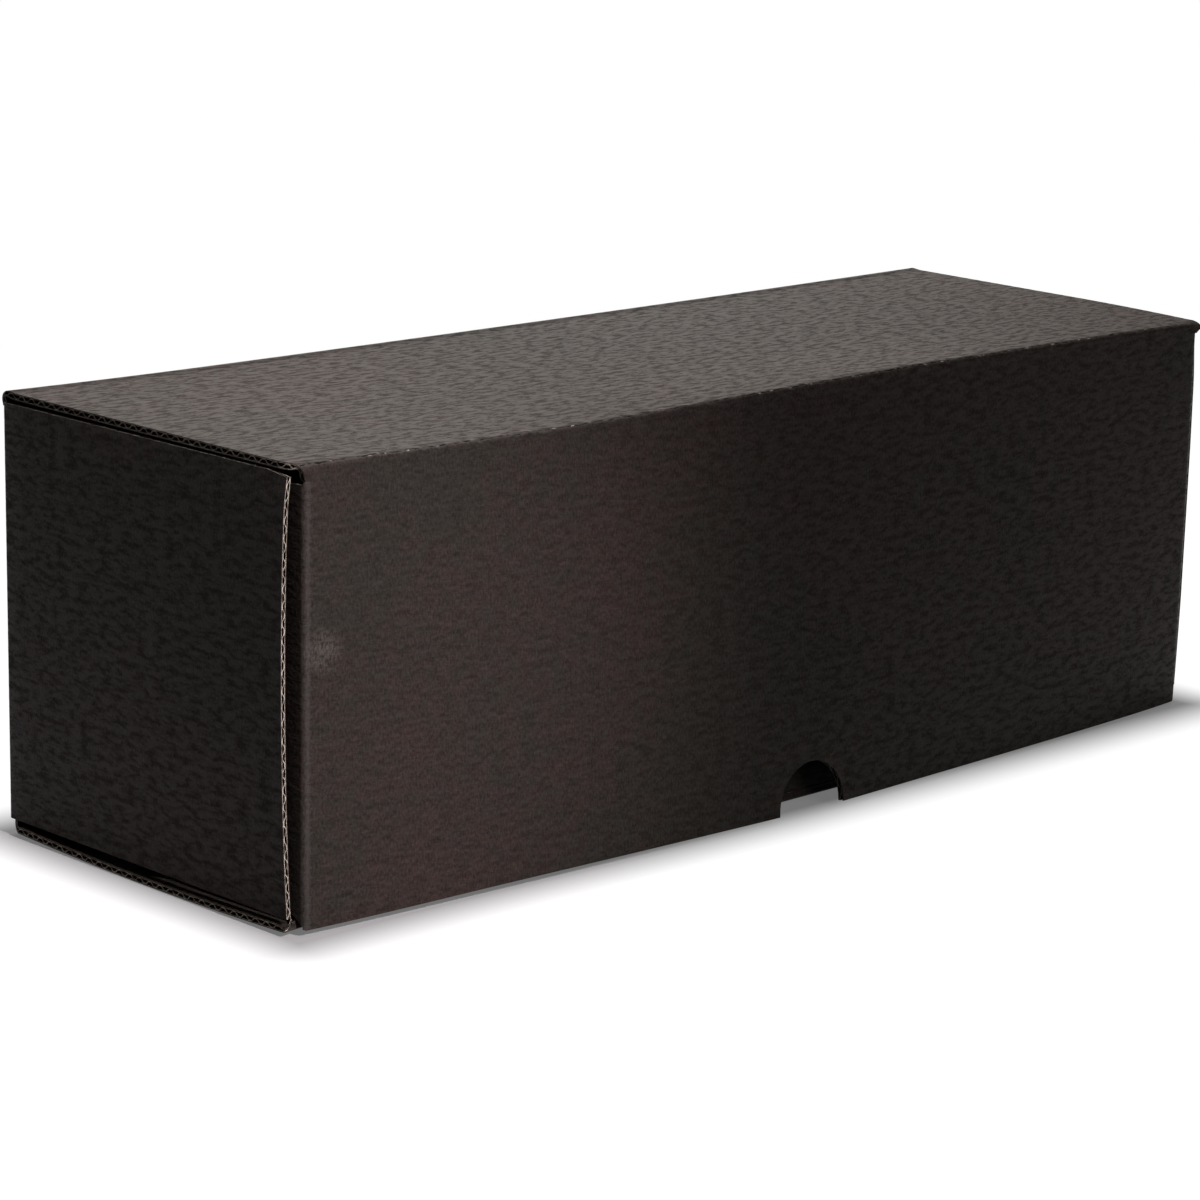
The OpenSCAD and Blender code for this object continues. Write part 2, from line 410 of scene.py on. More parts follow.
class Skin:
    """Plates collected for one mesh: points, their place on the sheet, ply and rub, and faces."""

    def __init__(self):
        self.points, self.sheet, self.ply, self.rub, self.faces, self.cut = [], [], [], [], [], []
        self.count = 0

    def add(self, outer, inner, sheet, keep, plies, rub, turn):
        """Adds the plate between two grids, each with its ply, and drops points without a face."""
        points, faces, cut = plate(outer, inner, keep)
        if turn < 0:
            faces = faces[:, ::-1]
        used, faces = np.unique(faces, return_inverse=True)
        faces = faces.reshape(-1, 4)
        self.points.append(points[used])
        self.sheet.append(np.concatenate([sheet.reshape(-1, 2)] * 2)[used])
        self.faces.append(faces + self.count)
        self.ply.append(np.repeat(np.array(plies, float), outer[..., 0].size)[used])
        self.rub.append(np.concatenate([rub.ravel()] * 2)[used])
        self.cut.append(cut)
        self.count += len(used)

    def build(self, name, material):
        """Makes the object in metres, smooth but for its edges, with the sheet as its UV map."""
        points = np.concatenate(self.points) * MM
        sheet = np.concatenate(self.sheet) * MM
        faces = np.concatenate(self.faces)
        mesh = bpy.data.meshes.new(name)
        mesh.vertices.add(len(points))
        mesh.vertices.foreach_set("co", points.ravel())
        mesh.loops.add(faces.size)
        mesh.loops.foreach_set("vertex_index", faces.ravel().astype(np.int32))
        mesh.polygons.add(len(faces))
        mesh.polygons.foreach_set("loop_start", np.arange(0, faces.size, 4, dtype=np.int32))
        mesh.update(calc_edges=True)
        mesh.uv_layers.new(name="sheet").data.foreach_set("uv", sheet[faces.ravel()].ravel())
        for label, domain, values in (
            ("ply", "POINT", self.ply), ("rub", "POINT", self.rub), ("cut", "FACE", self.cut),
        ):
            data = mesh.attributes.new(label, "FLOAT", domain).data
            data.foreach_set("value", np.concatenate(values).astype(float))
        mesh.shade_smooth()
        mesh.set_sharp_from_angle(angle=SHARP_ANGLE)
        mesh.materials.append(material)
        piece = bpy.data.objects.new(name, mesh)
        bpy.context.collection.objects.link(piece)
        print(f"{name}: {len(points)} points, {2 * len(faces)} triangles")
        return piece


# %% Facings and flutes of a panel
BLACK, KRAFT = 0, 1
NUDGE = 0.02


def full(s, t):
    """Thickness of board that no crease has crushed."""
    return np.full(np.shape(s), BOARD)


def unworn(s, t):
    """Wear of board whose face was never rubbed."""
    return np.zeros(np.shape(s))


def depths(fold, s, t, turn, *under):
    """Points of the sheet, each moved inwards from its face by a depth.

    The way in is square to the slopes along s and t.
    """
    across_s = fold(s + NUDGE, t) - fold(s - NUDGE, t)
    across_t = fold(s, t + NUDGE) - fold(s, t - NUDGE)
    normal = np.cross(across_s, across_t)
    inwards = -turn * normal / np.linalg.norm(normal, axis=-1, keepdims=True)
    face = fold(s, t)
    return [face + inwards * depth[..., None] for depth in under]


def lay(
    papers, flutes, fold, s_lines, t_stops, turn,
    keep=None, cut=None, thick=full, worn=unworn, steps=LINER_STEPS,
):
    """Adds a panel: two facings to papers, and the wavy paper to flutes.

    cut moves the flat grid to the panel's outline, keep says which cells are board, thick is the
    local thickness and worn how much the face is rubbed, which where it is strongest also places a
    line of painted crease shade. turn is 1 where s crossed with t points outwards, or -1. steps is
    how many rows of the facings go to one flute.
    """
    for rate, target in ((steps, papers), (FLUTE_STEPS, flutes)):
        s, t = np.meshgrid(s_lines, lines(t_stops, PITCH / rate), indexing="ij")
        middle_s = (s[1:, 1:] + s[:-1, :-1]) / 2
        middle_t = (t[1:, 1:] + t[:-1, :-1]) / 2
        cells = np.ones(middle_s.shape, bool) if keep is None else keep(middle_s, middle_t)
        if cut is not None:
            s, t = cut(s, t)
        sheet = np.stack([s, t], -1)
        board = thick(s, t)
        swing = (board - 2 * LINER - MEDIUM) / 2
        dent = DENT * board / BOARD
        if target is papers:
            shallow = dent * (1 - wave(t)) / 2
            deep = board - dent * (1 + wave(t)) / 2
            a, b, c, d = depths(fold, s, t, turn, shallow, shallow + LINER, deep - LINER, deep)
            papers.add(a, b, sheet, cells, (BLACK, KRAFT), worn(s, t), turn)
            papers.add(c, d, sheet, cells, (KRAFT, BLACK), unworn(s, t), turn)
        else:
            slope = swing * (wave(t + NUDGE) - wave(t - NUDGE)) / (2 * NUDGE)
            half = MEDIUM / 2 * np.sqrt(1 + slope**2)
            centre = board / 2 - swing * wave(t)
            a, b = depths(fold, s, t, turn, centre - half, centre + half)
            flutes.add(a, b, sheet, cells, (KRAFT, KRAFT), unworn(s, t), turn)


# %% [markdown]
# ## Black paper and raw cut edges
#
# The facings are black paper with a satin face. Close up it isn't flat black: streaks a few
# millimetres long lie along the flutes, fine fibres cross them, and the colour wanders between
# warm and cool. Creases are rubbed a little paler, with specks where the paper has cracked. Where
# they are rubbed hardest, most of all along the front fold, a broken near-black line is painted
# as the shade of the crushed crease. Every cut edge shows a line of brown fibre, while the hollows
# between the flutes are painted black as their shade: the flute paper is near-black, and so are
# the facings' sides inside them. Cut edges, brown sides, rubbed creases and the painted crease
# shade are found by three attributes of the mesh, `cut`, `ply` and `rub`, which were set when it
# was made.
#
# Each noise below is given by its scale, detail and roughness, and each mark of wear on the
# front by its place in metres, its radius and its strength. The sheen is a thin coat that is
# weaker between the streaks and missing on brown fibre.

# %% Satin black paper
CUT_COLOURS = (0.085, 0.068, 0.055), (0.31, 0.285, 0.24)
COOL, WARM = (0.0170, 0.0151, 0.0128), (0.0222, 0.0156, 0.0140)
# The middle colour below is near-black painted shade for the crushed creases.
RUBBED, CREASE_SHADE, CRACKED = (0.034, 0.0300, 0.0275), (0.003, 0.0027, 0.0025), (0.26, 0.235, 0.21)
# Near-black flute colours: painted shade inside the hollows between the facings.
FLUTE_SHADE_DARK, FLUTE_SHADE_LIGHT = (0.010, 0.008, 0.007), (0.030, 0.023, 0.019)
ALONG_FLUTES, ACROSS_FLUTES = (0.4, 1, 1), (1, 0.5, 1)
STREAKS, FIBRES, CREASE_NOISE = (640, 4, 0.68), (1900, 2, 0.6), (1500, 1, 0.4)
CLOUDS, BLOTCHES, GRAIN = (11, 3, 0.5), (210, 2, 0.5), (900, 3, 0.6)
PAPER_RELIEF, FLUTE_RELIEF = 0.00044, 0.00004
COAT_IOR, COAT_ROUGHNESS = 1.095, 0.3
MARKS = (
    ((-0.1445, -0.0508, 0.0617), 0.0065, 0.12),
    ((-0.1395, -0.0512, 0.0590), 0.0006, 1.0),
    ((-0.0039, -0.0510, 0.0983), 0.0007, 0.8),
)


def attribute(finish, name):
    """Value of a mesh attribute."""
    settings = {"attribute_name": name}
    return finish.node("ShaderNodeAttribute", settings, output=ATTRIBUTE_VALUE)


def cut_fibre(finish, place):
    """Colour of brown fibre at a cut edge, darker and paler in patches."""
    patches = finish.noise(place, *GRAIN)
    return finish.mix(finish.step(patches, 0.3, 0.7), *CUT_COLOURS)


def black_paper():
    """Material of the facings: bump, tone and gloss from streaks and fibres, wear and cuts."""
    finish = Finish(bpy.data.materials.new("black_paper"))
    sheet = finish.node("ShaderNodeUVMap", {"uv_map": "sheet"})
    place = finish.node("ShaderNodeTexCoord", output=OBJECT_PLACE)
    streaks = finish.noise(vector(finish, "MULTIPLY", sheet, ALONG_FLUTES), *STREAKS)
    fibres = finish.noise(vector(finish, "MULTIPLY", sheet, ACROSS_FLUTES), *FIBRES)
    clouds = finish.noise(sheet, *CLOUDS)
    blotches = finish.noise(sheet, *BLOTCHES)
    bump = finish.node("ShaderNodeBump", None, {
        "Strength": 1.0, "Distance": PAPER_RELIEF, "Height": streaks + fibres * 0.14,
    })
    ground = finish.mix(finish.step(clouds * 0.7 + blotches * 0.3, 0.4, 0.6), COOL, WARM)
    tone = finish.step(fibres * 0.7 + streaks * 0.3, 0.3, 0.7)
    dark = finish.mix(tone, (0.6, 0.6, 0.6), (1.4, 1.4, 1.4))
    ground = vector(finish, "MULTIPLY", ground, dark)
    rub = attribute(finish, "rub")
    worn = finish.mix(finish.step(rub * 0.75 + fibres * 0.5, 0.42, 0.9), ground, RUBBED)
    crease_noise = finish.noise(vector(finish, "MULTIPLY", sheet, ALONG_FLUTES), *CREASE_NOISE)
    # Near-black where the creases are rubbed hardest: painted shade of the crushed crease, broken
    # up by noise.
    crease_shaded = finish.mix(finish.step(rub * 0.9 - crease_noise * 0.8, 0.38, 0.5), worn, CREASE_SHADE)
    cracked = finish.step(rub * 0.9 + crease_noise * 0.8 + blotches * 0.5, 1.6, 1.72)
    colour = finish.mix(cracked, crease_shaded, CRACKED)
    for centre, radius, strength in MARKS:
        away = vector(finish, "DISTANCE", place, centre, output=VECTOR_VALUE)
        marked = (1 - finish.step(away, radius * 0.2, radius)) * strength * tone
        colour = finish.mix(marked, colour, CRACKED)
    # Only cut rims turn brown: the facings' sides inside the flutes keep the black, painted shade
    # of the hollows.
    brown = attribute(finish, "cut") * finish.step(attribute(finish, "ply"), 0.45, 0.7)
    gloss = streaks * 0.2 + fibres * 0.06 + 0.25
    sheen = (finish.step(streaks, 0.39, 0.57) * 0.9 + 0.1) * (1 - brown)
    paper = finish.node("ShaderNodeBsdfPrincipled", None, {
        "Base Color": finish.mix(brown, colour, cut_fibre(finish, place)),
        "Roughness": gloss + brown * 0.4, "Normal": bump, "Specular IOR Level": 0.01,
        "Coat Weight": sheen, "Coat Roughness": COAT_ROUGHNESS, "Coat IOR": COAT_IOR,
    })
    finish.node("ShaderNodeOutputMaterial", None, {"Surface": paper})
    return finish.owner


def wavy_paper():
    """Material of the flutes: matt, near-black as painted shade of the hollows, brown where cut."""
    finish = Finish(bpy.data.materials.new("wavy_paper"))
    place = finish.node("ShaderNodeTexCoord", output=OBJECT_PLACE)
    grain = finish.noise(place, *GRAIN)
    # The flute paper is painted near-black to stand for the shade inside the hollows.
    black = finish.mix(grain, FLUTE_SHADE_DARK, FLUTE_SHADE_LIGHT)
    bump = finish.node("ShaderNodeBump", None, {
        "Strength": 0.4, "Distance": FLUTE_RELIEF, "Height": grain,
    })
    paper = finish.node("ShaderNodeBsdfPrincipled", None, {
        "Base Color": finish.mix(attribute(finish, "cut"), black, cut_fibre(finish, place)),
        "Roughness": 0.85, "Normal": bump, "Specular IOR Level": 0.1,
    })
    finish.node("ShaderNodeOutputMaterial", None, {"Surface": paper})
    return finish.owner


black, wavy = black_paper(), wavy_paper()
print("materials:", black.name, wavy.name)


# %% Making one piece of board
def make_piece(name, panels, node, body=None, bend=None):
    """Builds the facings and the flutes of some panels in the place of a CAD node.

    They ride on a body, or, when bend is given, stay fixed where they are made.
    """
    papers, flutes = Skin(), Skin()
    for panel in panels:
        lay(papers, flutes, **panel)
    for suffix, skin, slot, material in (
        ("paper", papers, "board", black),
        ("flutes", flutes, "cut_edge", wavy),
    ):
        piece = skin.build(f"{name}_{suffix}", material)
        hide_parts(node)
        if bend:
            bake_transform(piece)
        else:
            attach(piece, body)


# %% [markdown]
# ## The roof strip: lid, rear fold and front fold
#
# The lid, its two folds and the panels under them are one strip of the blank, so one function
# places them all. `t` is 0 in the middle of the lid and grows towards the back. The lid sags a
# little in the middle and sinks towards the front, where its edge rises and dips by up to a
# millimetre, and its left end is lifted. The rear fold bulges out behind, as thick board does,
# and the front fold is crushed into small teeth. Each fold is a piece of its own.

# %% Where the roof strip lies
HALF_LENGTH, HALF_DEPTH, HEIGHT = 152.0, 50.0, 102.0
REAR_R, FRONT_R, LEFT_R, RIGHT_R = 2.6, 1.3, 2.2, 3.2
REAR_HALF, FRONT_HALF = HALF_DEPTH - REAR_R, HALF_DEPTH - FRONT_R
LOOSE_FROM, LOOSE_WIDTH, STRETCH_FROM, STRETCH_WIDTH = 144, 7, 46, 6
LID_SAG, SAG_WIDTH, LID_FALL, FADE_DOWN = 0.5, 30, 0.5, 3.4
LEFT_LIFT, LIFT_FROM, LIFT_WIDTH = 0.45, 92, 60
FRONT_DIP = ([-152, -147, -64, 35, 131, 152], [-0.1, -0.1, 0.75, -0.35, 0.15, 0.75])
DIP_FROM, DIP_WIDTH, DIP_SOFT = 8, 40, 14
REAR_BULGE, REAR_RIDGE, RIDGE_PLACE, RIDGE_WIDTH = 0.8, 0.3, 0.9, 1.6
SCORE_CRUSH = 0.5
REAR_CREASE = REAR_HALF + REAR_R * np.pi / 4
FRONT_CREASE = -FRONT_HALF - FRONT_R * np.pi / 4
TOOTH, TOOTH_STEP, TOOTH_WIDTH, TOOTH_END, TOOTH_FADE = 0.5, 1.5, 1.3, 150, 12
tooth_places = np.arange(-160, 160, TOOTH_STEP)
tooth_sizes = np.random.default_rng(11).uniform(-1, 1, len(tooth_places)) ** 3


def roof(s, t):
    """Lid and folds: a strip bent down at the back and the front.

    Height loses the sag, the fall and the front edge's dip, and gains a lift of the left end, all
    fading out down the folds. A ridge runs along the rear fold, and the front crease moves in
    and out by its teeth. Near its ends the front fold is rounder, and t is stretched there so
    that it ends as low.
    """
    end_radius = np.where(s < 0, LEFT_R, RIGHT_R)
    loose = (end_radius - FRONT_R) * ramp(np.abs(s), LOOSE_FROM, LOOSE_WIDTH) ** 2
    radius = FRONT_R + loose
    t = t + (2 - np.pi / 2) * loose * ramp(-t, STRETCH_FROM, STRETCH_WIDTH)
    front = t < 0
    half = np.where(front, HALF_DEPTH - radius, REAR_HALF)
    y, down = wrap(t, half, np.where(front, radius, REAR_R))
    spread = np.clip(1 - (s / HALF_LENGTH) ** 2, 0, 1)
    still = np.clip(1 - down / FADE_DOWN, 0, 1)
    sag = LID_SAG * spread * ramp(y, -HALF_DEPTH, SAG_WIDTH)
    fall = LID_FALL * (REAR_HALF - np.clip(y, -FRONT_HALF, REAR_HALF)) / (2 * HALF_DEPTH)
    lift = LEFT_LIFT * ramp(-s, LIFT_FROM, LIFT_WIDTH) ** 2
    dip = curve(s, *FRONT_DIP, DIP_SOFT) * ramp(-y, DIP_FROM, DIP_WIDTH) ** 2
    turn = ramp(t, REAR_HALF - 1, REAR_R * np.pi / 2 + 2)
    bulge = REAR_BULGE * np.sin(np.pi * turn) ** 2
    ridge = REAR_RIDGE * hump(t, REAR_HALF + RIDGE_PLACE, RIDGE_WIDTH)
    crush = np.interp(s, tooth_places, tooth_sizes) * hump(t, FRONT_CREASE, TOOTH_WIDTH)
    teeth = TOOTH * crush * np.clip((TOOTH_END - np.abs(s)) / TOOTH_FADE, 0, 1) / np.sqrt(2)
    level = HEIGHT - down - (sag + fall + dip - lift) * still
    return np.stack([s, y + bulge - teeth, level + ridge + teeth], -1)


def scored(*creases):
    """Thickness that is crushed round each crease, given as its t and its half width."""
    def thick(s, t):
        return BOARD - SCORE_CRUSH * sum(hump(t, at, width) for at, width in creases)
    return thick


def rubbed(*creases):
    """Wear and, where strongest, painted shade along creases: t, half width and strength."""
    def worn(s, t):
        return sum(strength * hump(t, at, width) for at, width, strength in creases)
    return worn


roof_thick = scored((REAR_CREASE, 1.1), (FRONT_CREASE, 1.3))
roof_worn = rubbed((REAR_CREASE, 1.5, 0.5), (FRONT_CREASE + 0.3, 0.6, 1.0))
LID_FRONT, LID_BACK = -45.0, 45.0
REAR_END = REAR_HALF + REAR_R * np.pi / 2 + 1.0
FRONT_END = -FRONT_HALF - FRONT_R * np.pi / 2 - 2.5
LEFT_ENDS = ([FRONT_END, -51.1, -48.5, -45.0], [149.5, 150.1, 151.2, HALF_LENGTH])
RIGHT_ENDS = ([FRONT_END, -52.0, -50.8, -45.0], [150.2, 151.8, 152.4, HALF_LENGTH])


def roof_cut(s, t):
    """Outline of the strip: full length at the back, drawn in towards the front fold's ends."""
    return s * np.where(s < 0, np.interp(t, *LEFT_ENDS), np.interp(t, *RIGHT_ENDS)) / HALF_LENGTH, t


roof_columns = lines([-HALF_LENGTH, -140, 140, HALF_LENGTH], 2, 8, 2)
print("rear crease at", round(REAR_CREASE, 2), "front crease at", round(FRONT_CREASE, 2))

# %% Lid
make_piece("lid", [dict(
    fold=roof, s_lines=roof_columns, t_stops=[LID_FRONT, LID_BACK], turn=1, cut=roof_cut,
    thick=roof_thick, worn=roof_worn,
)], "lid", body="lid")

# %% Rear fold
WALL_HALF, OUTER_HALF = 149.4, 151.2
REAR_NECK = REAR_END - 0.6
FOLD_STEPS = 12


def rear_keep(s, t):
    """The fold runs the lid's whole length, and under it only the back wall is left."""
    return (np.abs(s) < OUTER_HALF) | (t < REAR_NECK)


make_piece("rear_fold", [dict(
    fold=roof, s_lines=lines([-HALF_LENGTH, -OUTER_HALF, OUTER_HALF, HALF_LENGTH], 0.8, 8, 0.8),
    t_stops=[LID_BACK, REAR_NECK, REAR_END], turn=1, keep=rear_keep, thick=roof_thick,
    worn=roof_worn, steps=FOLD_STEPS,
)], "tray", bend=("tray", "lid", (0, 0.0502, 0.10026), (0, 0.04825, 0.1022)))

# %% Front fold
fold_columns = lines([-HALF_LENGTH, HALF_LENGTH], TOOTH_STEP / 2)
make_piece("front_fold", [dict(
    fold=roof, s_lines=fold_columns, t_stops=[FRONT_END, -51.4, -48.4, LID_FRONT], turn=1,
    cut=roof_cut, thick=roof_thick, worn=roof_worn, steps=FOLD_STEPS,
)], "lid", bend=("lid", "front_flap", (0, -0.048, 0.10132), (0, -0.04973, 0.09958)))

# %% [markdown]
# ## The front flap
#
# The flap hangs from the front fold and stands out in the middle, because the goods and the
# tucked ears push it. Its face is a curved surface: nothing at the fold and at both ends, and
# most in the middle of the lower edge, where the thumb notch is cut. The ears are the same
# sheet, turned back at both ends and tucked behind the end panels.

# %% Where the flap lies
FLAP_HALF, EAR_R, EAR_CRUSH, EAR_WEAR, EAR_FOLD = 149.2, 0.9, 0.8, 0.65, 1.1
FLAP_TOP, FLAP_LOW = HEIGHT - FRONT_R - 2.5, 1.0
FLAP_BOW, BOW_SLOPE, BOW_ROUND, BOW_END = 8.5, 0.9501, 0.1, 0.14
RIGHT_SWELL, LEFT_LEAN = 0.4, 0.8
FLAP_EDGE = ([-150, -100, -20, 30, 75, 150], [1.4, 1.7, 1.55, 1.35, 1.0, 0.5])
NOTCH_R, NOTCH_SIDE, NOTCH_ASIDE, NOTCH_REACH = 11.0, 0.6, 0.6, 60
CORNER, CORNER_SLOPE, EAR_RISE = 3.3, 1.1, 8
EAR_TOP, EAR_TIP = 97.5, 95.0
EAR_START = FLAP_HALF + EAR_R * np.pi / 2
EAR_END = EAR_START + 32.4
FLAP_SHIFT = FLAP_TOP - FRONT_END


def bow(x, z):
    """How far the flap stands out: a rounded V along it, growing evenly down from the fold."""
    share = np.clip(np.abs(x) / FLAP_HALF, 0, 1)
    rounded = np.sqrt(share**2 + BOW_ROUND**2) - BOW_ROUND
    out = 1 - BOW_SLOPE * rounded - BOW_END * share**8
    return FLAP_BOW * out * (FLAP_TOP - z) / (FLAP_TOP - FLAP_LOW)


def flap(s, t):
    """Flap and ears: a strip along X turned back at both ends, with the bow of its face."""
    z = t + FLAP_SHIFT
    x, behind = wrap(s, FLAP_HALF, EAR_R)
    face = np.clip((FLAP_HALF - np.abs(s)) / 0.5, 0, 1)
    low = np.clip(1 - z / FLAP_TOP, 0, 1)
    swell = RIGHT_SWELL * np.clip(x / FLAP_HALF, 0, 1) * np.sin(np.pi * low)
    lean = LEFT_LEAN * np.clip(-x / FLAP_HALF, 0, 1) * low
    return np.stack([x + swell + lean, behind - HALF_DEPTH - bow(s, z) * face, z], -1)


def flap_cut(s, k):
    """Outline of the flap.

    k runs from 0 at the lower edge, with its notch and corners, to 1 at the fold.
    """
    x = np.abs(s)
    ear = np.clip((x - EAR_START) / (EAR_END - EAR_START), 0, 1)
    notch = np.sqrt(np.clip(NOTCH_R**2 - x**2, 0, None)) + NOTCH_SIDE * (x < NOTCH_R - 0.01)
    corner = np.clip(x - FLAP_HALF, 0, CORNER)
    low = curve(s, *FLAP_EDGE, 8) + notch + corner * CORNER_SLOPE + EAR_RISE * ear
    stops = [FLAP_HALF + 0.5, FLAP_HALF + 1.0, EAR_START, EAR_END]
    high = np.interp(x, stops, [FLAP_TOP, EAR_TOP, EAR_TOP, EAR_TIP])
    aside = NOTCH_ASIDE * np.clip(1 - x / NOTCH_REACH, 0, 1)
    return s + aside, low + (high - low) * k - FLAP_SHIFT


def flap_worn(s, t):
    """Wear of the flap: a pale band along both ear folds."""
    return EAR_WEAR * hump(np.abs(s), FLAP_HALF - 0.4, EAR_FOLD)


def flap_thick(s, t):
    """Thickness of the flap: crushed along both ear folds."""
    return BOARD - EAR_CRUSH * hump(np.abs(s), FLAP_HALF + EAR_R * np.pi / 4, EAR_FOLD)


ear_stops = [FLAP_HALF - 4, FLAP_HALF + 0.5, FLAP_HALF + 1, EAR_START, EAR_END]
half_stops = [NOTCH_R, NOTCH_REACH, *ear_stops]
half_columns = np.concatenate([
    NOTCH_R * np.sin(np.linspace(0, np.pi / 2, 17)), lines(half_stops, 4, 7, 0.5, 0.5, 0.4, 6)[1:],
])
flap_columns = np.concatenate([-half_columns[:0:-1], half_columns])
print("flap's columns:", len(flap_columns))

# %% [markdown]
# The flap's rows are spaced by share of its height, not in millimetres, because its lower edge
# is curved. So the number of rows is given through stops that stand for the same height.


# %% Front flap
def by_height(cut, low, high):
    """An outline whose second coordinate is a height between low and high, turned into a share."""
    return lambda s, t: cut(s, (t - low) / (high - low))


make_piece("flap", [dict(
    fold=flap, s_lines=flap_columns, t_stops=[FLAP_LOW, FLAP_TOP], turn=1,
    cut=by_height(flap_cut, FLAP_LOW, FLAP_TOP), thick=flap_thick, worn=flap_worn,
)], "front_flap", body="front_flap")

# %% [markdown]
# ## The tray
#
# The base and its two lower folds are one strip. The back wall carries the end panels, which
# are turned in at both ends, and the inner front wall carries the inner end flaps, which are
# glued to the end panels behind the ears. Each is again a strip that is wrapped round its ends.

# %% Base and lower folds
BASE_FRONT, BASE_BACK = 45.1, 46.0
LOWER_FRONT_R, LOWER_BACK_R = 2.4, 4.0
BASE_LIFT, BASE_BULGE, BASE_FLARE, FLARE_FROM, FLARE_WIDTH = 0.9, 0.8, 0.6, 146, 6
BASE_START = -BASE_FRONT - LOWER_FRONT_R * np.pi / 2
BASE_STOP = BASE_BACK + LOWER_BACK_R * np.pi / 2
FRONT_SCORE, BACK_SCORE = -BASE_FRONT - 1.9, BASE_BACK + 3.1


def base(s, t):
    """Base and folds: a strip bent up at both sides.

    Its corners are lifted a little, and its front fold bulges out, most at its ends.
    """
    front = t < 0
    half = np.where(front, BASE_FRONT, BASE_BACK)
    y, away = wrap(t, half, np.where(front, LOWER_FRONT_R, LOWER_BACK_R))
    lift = BASE_LIFT * np.clip(np.abs(y) / BASE_FRONT, 0, 1) ** 2 * (s / HALF_LENGTH) ** 2
    turn = np.clip((-t - BASE_FRONT + 1) / (LOWER_FRONT_R * np.pi / 2 + 1), 0, 1)
    bulge = BASE_BULGE + BASE_FLARE * ramp(np.abs(s), FLARE_FROM, FLARE_WIDTH) ** 2
    return np.stack([s, y - bulge * np.sin(np.pi * turn) ** 2, away + lift], -1)


def base_cut(s, t):
    """Outline of the strip: the full length, slanting in along the folds to the walls' width."""
    stops = [BASE_START, -BASE_FRONT - LOWER_FRONT_R * 0.7, BASE_BACK, BASE_STOP]
    ends = np.interp(t, stops, [WALL_HALF, HALF_LENGTH, HALF_LENGTH, WALL_HALF])
    return s * ends / HALF_LENGTH, t


base_panel = dict(
    fold=base, s_lines=lines([-HALF_LENGTH, -144, 144, HALF_LENGTH], 1, 8, 1),
    t_stops=[BASE_START, -BASE_FRONT, BASE_BACK, BASE_STOP], turn=-1, cut=base_cut,
    thick=scored((FRONT_SCORE, 1.8), (BACK_SCORE, 2.2)),
    worn=rubbed((FRONT_SCORE, 1.5, 0.6), (BACK_SCORE, 1.8, 0.6)),
)
make_piece("base", [base_panel], "tray", body="tray")

# %% Back wall and end panels
OUTER_R, END_REACH, BACK_LEAN = 1.3, 96.2, 0.8
END_LOW, END_HIGH, CUT_FROM = 3.9, 99.9, 90
RIGHT_CUT, RIGHT_FADE, TIP_CUT, TIP = 0.9, 20, 0.7, 4
CORNER_WEAR, EDGE_CRUSH = 0.8, 0.25
REAR_CORNER = OUTER_HALF + OUTER_R * np.pi / 4
END_START = OUTER_HALF + OUTER_R * np.pi / 2
END_STOP = END_START + END_REACH
WALL_LOW, WALL_HIGH = LOWER_BACK_R + BASE_LIFT, HEIGHT - REAR_R - 1.0
LEFT_OUT = (
    [3.9, 13, 30.5, 48, 65, 82, 94.5, 98, 99.4],
    [-0.8, -0.1, 0.7, 1.15, 1.3, 1.15, 0.7, 0.1, -0.1],
)
RIGHT_OUT = ([3.9, 13, 27, 48, 68, 86, 95.5, 99.4], [0.6, 0.9, 1.25, 1.3, 1.3, 1.05, 0.3, -0.1])


def outer_walls(s, t):
    """Back wall and end panels: a strip turned in at both ends.

    The box is narrower at the foot of its back, and the end panels bow out towards their front
    edges by the amounts that each of them shows.
    """
    x, behind = wrap(s, OUTER_HALF, OUTER_R)
    share = np.clip((behind - OUTER_R) / END_REACH, 0, 1)
    rise = np.clip((t - END_LOW) / (END_HIGH - END_LOW), 0, 1)
    out = np.where(s < 0, -curve(t, *LEFT_OUT, 2.5), curve(t, *RIGHT_OUT, 2.5))
    narrow = 1 - BACK_LEAN * (1 - rise) * (1 - share) / HALF_LENGTH
    return np.stack([x * narrow + out * share, HALF_DEPTH - behind, t], -1)


def wall_worn(s, t):
    """Wear of the tray: a pale line down both rear corners."""
    return CORNER_WEAR * hump(np.abs(s), REAR_CORNER, 1.1)


def wall_thick(s, t):
    """Thickness of the outer walls: crushed down both rear corners, and a little at cut edges."""
    corner = SCORE_CRUSH * hump(np.abs(s), REAR_CORNER, 1.2)
    return BOARD - corner - EDGE_CRUSH * hump(np.abs(s), END_STOP, TIP)


def outer_cut(s, t):
    """Outline of the walls: the end panels' tops lose a little at the front.

    The right one is cut lower all along, as the lid dips there.
    """
    tip = TIP_CUT * ramp(np.abs(s), END_STOP - TIP, TIP)
    lost = RIGHT_CUT * ramp(s, OUTER_HALF, RIGHT_FADE) + tip
    return s, t - lost * ramp(t, CUT_FROM, END_HIGH - CUT_FROM)


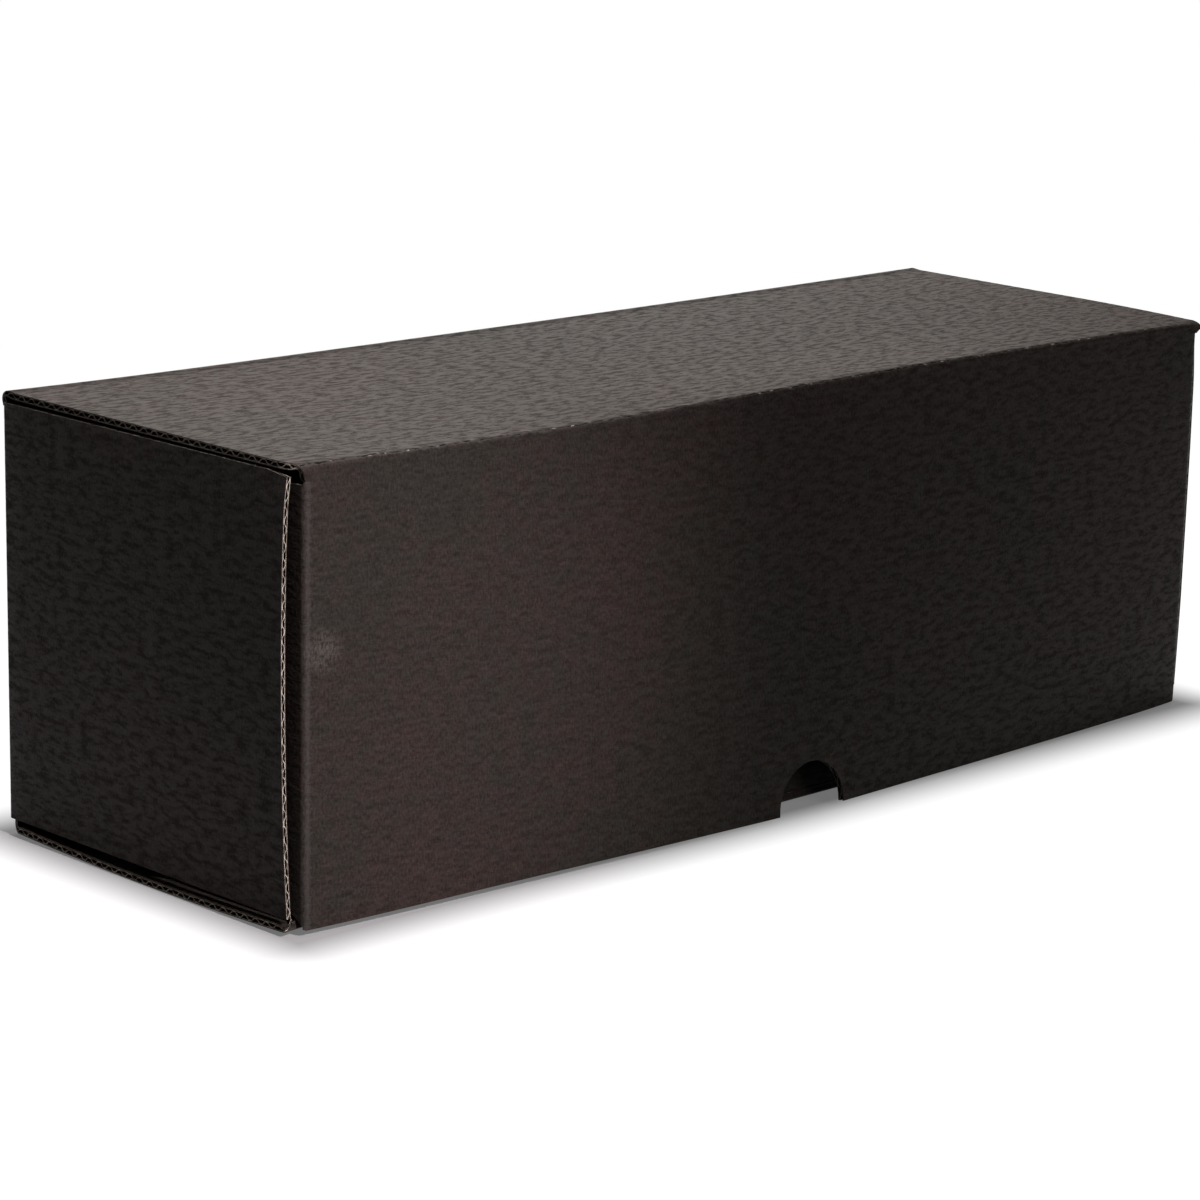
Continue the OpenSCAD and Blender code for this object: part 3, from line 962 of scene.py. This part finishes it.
def outer_keep(s, t):
    """The end panels and the back wall start and stop at different heights."""
    ends = np.abs(s) > OUTER_HALF
    return (ends & (t < END_HIGH)) | (~ends & (t > WALL_LOW) & (t < WALL_HIGH))


outer_columns = lines(
    [-END_STOP, -END_START, -OUTER_HALF, OUTER_HALF, END_START, END_STOP], 6, 0.4, 10, 0.4, 6,
)
make_piece("outer_walls", [dict(
    fold=outer_walls, s_lines=outer_columns, t_stops=[END_LOW, WALL_LOW, WALL_HIGH, END_HIGH],
    turn=-1, keep=outer_keep, cut=outer_cut, thick=wall_thick, worn=wall_worn,
)], "tray", body="tray")

# %% Inner front wall and inner end flaps
INNER_HALF, INNER_R, INNER_FACE = 145.5, 2.6, -47.5
INNER_LOW, INNER_HIGH = LOWER_FRONT_R + 0.3, 98.2
POCKET_LOW, POCKET_HIGH = 5.0, 95.4
POCKET_START = INNER_HALF + INNER_R * np.pi / 2
POCKET_END, JOG_END, GLUE_END = -11.0, -3.0, 37.0
JOG = 2.3


def inner_walls(s, t):
    """Inner front wall and end flaps: a strip turned back at both ends.

    The flaps step out to the end panels that they are glued to.
    """
    x, behind = wrap(s, INNER_HALF, INNER_R)
    y = INNER_FACE + behind
    jog = JOG * np.clip((y - POCKET_END) / (JOG_END - POCKET_END), 0, 1)
    return np.stack([x + np.sign(s) * jog, y, t], -1)


def inner_keep(s, t):
    """The inner end flaps are cut lower than the wall that carries them."""
    return (np.abs(s) < INNER_HALF) | ((t > POCKET_LOW) & (t < POCKET_HIGH))


to_pocket, to_jog, to_end = (
    POCKET_START + y - INNER_FACE - INNER_R for y in (POCKET_END, JOG_END, GLUE_END)
)
inner_columns = lines(
    [-to_end, -to_jog, -to_pocket, -POCKET_START, -INNER_HALF,
     INNER_HALF, POCKET_START, to_pocket, to_jog, to_end],
    8, 2, 8, 0.5, 10, 0.5, 8, 2, 8,
)
make_piece("inner_walls", [dict(
    fold=inner_walls, s_lines=inner_columns,
    t_stops=[INNER_LOW, POCKET_LOW, POCKET_HIGH, INNER_HIGH], turn=1, keep=inner_keep,
)], "tray", body="tray")
